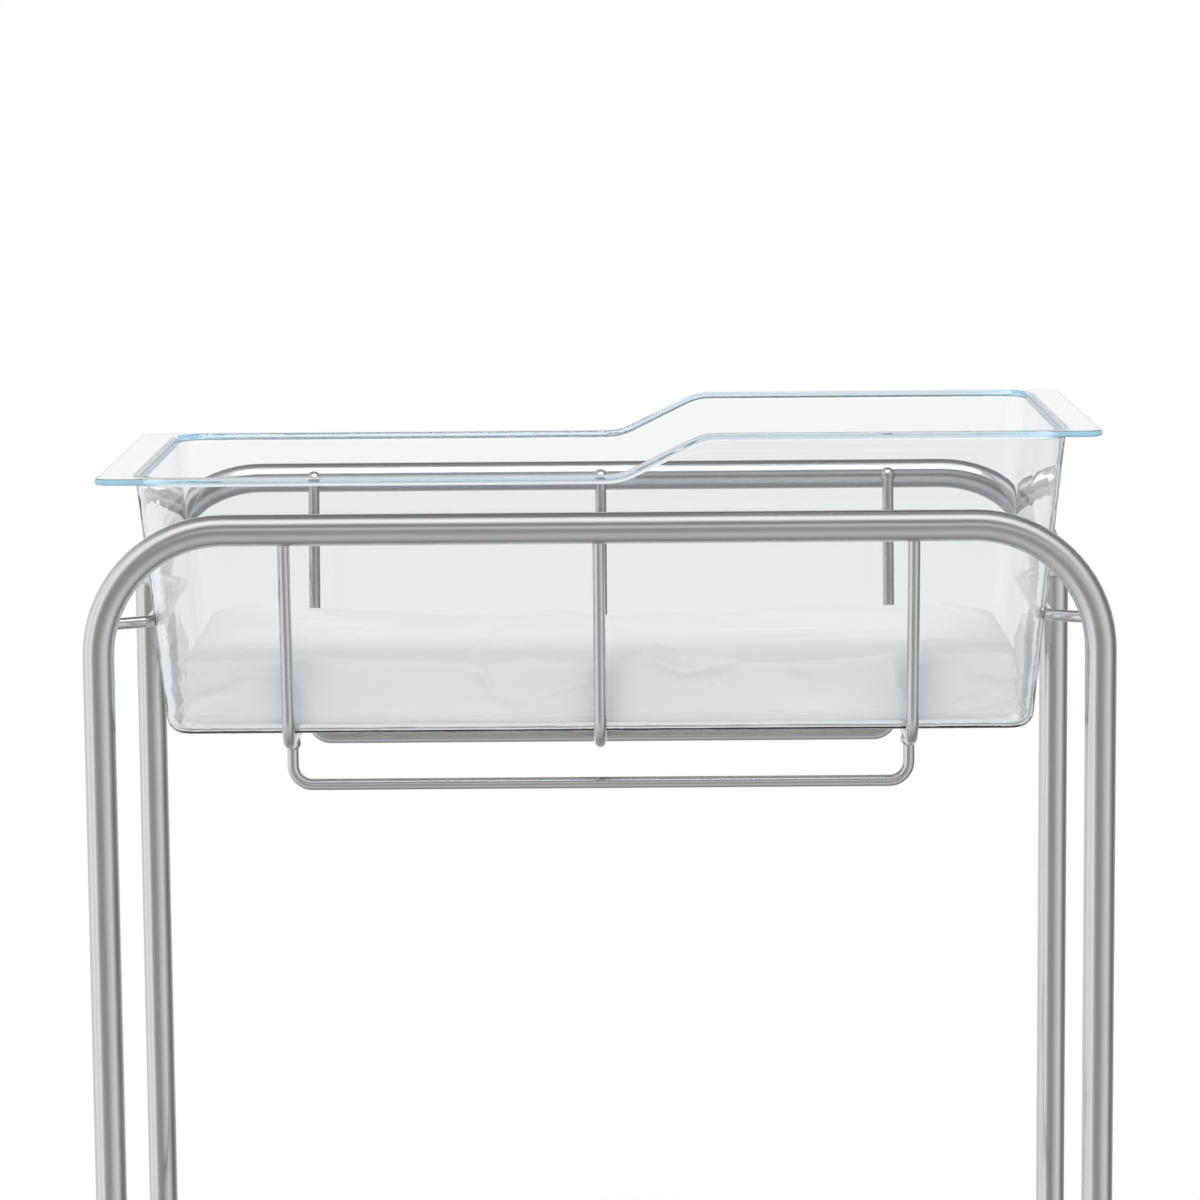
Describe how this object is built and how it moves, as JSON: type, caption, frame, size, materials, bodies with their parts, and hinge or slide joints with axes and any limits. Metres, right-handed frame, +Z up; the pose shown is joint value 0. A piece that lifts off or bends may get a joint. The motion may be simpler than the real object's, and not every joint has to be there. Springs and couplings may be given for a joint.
{
  "type": "hospital bassinet",
  "caption": "Newborn bassinet: clear stepped-rim tub with mattress, lifted out of a welded steel tube stand on swivel casters.",
  "frame": {"origin": "on the floor under the middle of the stand", "axes": "+Z up, +X along the length to the raised end of the rim, -Y the front, nearest the camera"},
  "size_m": [0.846, 0.427, 0.94],
  "materials": {
    "satin_steel": "satin brushed",
    "clear_acrylic": "clear, polished",
    "white_sheet": "woven, matt",
    "foam": "open foam",
    "zinc_plate": "bright zinc plate",
    "grey_tyre": "matt",
    "grey_nylon": "moulded",
    "black_rubber": "matt",
    "pedal_plastic": "moulded"
  },
  "bodies": {
    "stand": {"caster_race_front_left": "zinc_plate", "caster_race_front_right": "zinc_plate", "caster_race_rear_left": "zinc_plate", "caster_race_rear_right": "zinc_plate", "caster_sleeve_front_left": "black_rubber", "caster_sleeve_front_right": "black_rubber", "caster_sleeve_rear_left": "black_rubber", "caster_sleeve_rear_right": "black_rubber", "caster_stem_front_left": "zinc_plate", "caster_stem_front_right": "zinc_plate", "caster_stem_rear_left": "zinc_plate", "caster_stem_rear_right": "zinc_plate", "cradle_rod_left": "satin_steel", "cradle_rod_middle": "satin_steel", "cradle_rod_right": "satin_steel", "end_rod_left": "satin_steel", "end_rod_right": "satin_steel", "foot_rail_left": "satin_steel", "foot_rail_right": "satin_steel", "front_hoop": "satin_steel", "lower_bar_front": "satin_steel", "lower_bar_rear": "satin_steel", "rear_hoop": "satin_steel", "spine_tube": "satin_steel"},
    "tub": {"tub": "clear_acrylic"},
    "mattress": {"mattress_foam": "foam", "mattress_sheet": "white_sheet"},
    "caster_front_left": {"caster_fork_front_left": "zinc_plate", "caster_axle_front_left": "zinc_plate", "brake_pin_front_left": "zinc_plate"},
    "wheel_front_left": {"caster_hub_front_left": "grey_nylon", "caster_tyre_front_left": "grey_tyre"},
    "caster_front_right": {"caster_fork_front_right": "zinc_plate", "caster_axle_front_right": "zinc_plate"},
    "wheel_front_right": {"caster_hub_front_right": "grey_nylon", "caster_tyre_front_right": "grey_tyre"},
    "caster_rear_left": {"caster_fork_rear_left": "zinc_plate", "caster_axle_rear_left": "zinc_plate"},
    "wheel_rear_left": {"caster_hub_rear_left": "grey_nylon", "caster_tyre_rear_left": "grey_tyre"},
    "caster_rear_right": {"caster_fork_rear_right": "zinc_plate", "caster_axle_rear_right": "zinc_plate", "brake_pin_rear_right": "zinc_plate"},
    "wheel_rear_right": {"caster_hub_rear_right": "grey_nylon", "caster_tyre_rear_right": "grey_tyre"},
    "brake_front_left": {"brake_pedal_front_left": "pedal_plastic"},
    "brake_rear_right": {"brake_pedal_rear_right": "pedal_plastic"}
  },
  "joints": [
    {"name": "tub_lift", "type": "slide", "parent": "stand", "child": "tub", "axis": [0, 0, 1], "range_m": [0, 0.25]},
    {"name": "mattress_lift", "type": "slide", "parent": "tub", "child": "mattress", "axis": [0, 0, 1], "range_m": [0, 0.25]},
    {"name": "swivel_front_left", "type": "hinge", "parent": "stand", "child": "caster_front_left", "pos_m": [-0.39997, -0.18997, 0.1085], "axis": [0, 0, 1], "continuous": true},
    {"name": "wheel_spin_front_left", "type": "hinge", "parent": "caster_front_left", "child": "wheel_front_left", "pos_m": [-0.36797, -0.18997, 0.05], "axis": [0, 1, 0], "continuous": true},
    {"name": "swivel_front_right", "type": "hinge", "parent": "stand", "child": "caster_front_right", "pos_m": [0.39997, -0.18997, 0.1085], "axis": [0, 0, 1], "continuous": true},
    {"name": "wheel_spin_front_right", "type": "hinge", "parent": "caster_front_right", "child": "wheel_front_right", "pos_m": [0.36797, -0.18997, 0.05], "axis": [0, 1, 0], "continuous": true},
    {"name": "swivel_rear_left", "type": "hinge", "parent": "stand", "child": "caster_rear_left", "pos_m": [-0.39997, 0.18997, 0.1085], "axis": [0, 0, 1], "continuous": true},
    {"name": "wheel_spin_rear_left", "type": "hinge", "parent": "caster_rear_left", "child": "wheel_rear_left", "pos_m": [-0.36797, 0.18997, 0.05], "axis": [0, 1, 0], "continuous": true},
    {"name": "swivel_rear_right", "type": "hinge", "parent": "stand", "child": "caster_rear_right", "pos_m": [0.39997, 0.18997, 0.1085], "axis": [0, 0, 1], "continuous": true},
    {"name": "wheel_spin_rear_right", "type": "hinge", "parent": "caster_rear_right", "child": "wheel_rear_right", "pos_m": [0.36797, 0.18997, 0.05], "axis": [0, 1, 0], "continuous": true},
    {"name": "brake_front_left", "type": "hinge", "parent": "caster_front_left", "child": "brake_front_left", "pos_m": [-0.34097, -0.18997, 0.099], "axis": [0, 1, 0], "range_deg": [0, 15]},
    {"name": "brake_rear_right", "type": "hinge", "parent": "caster_rear_right", "child": "brake_rear_right", "pos_m": [0.34097, 0.18997, 0.099], "axis": [0, -1, 0], "range_deg": [0, 15]}
  ]
}
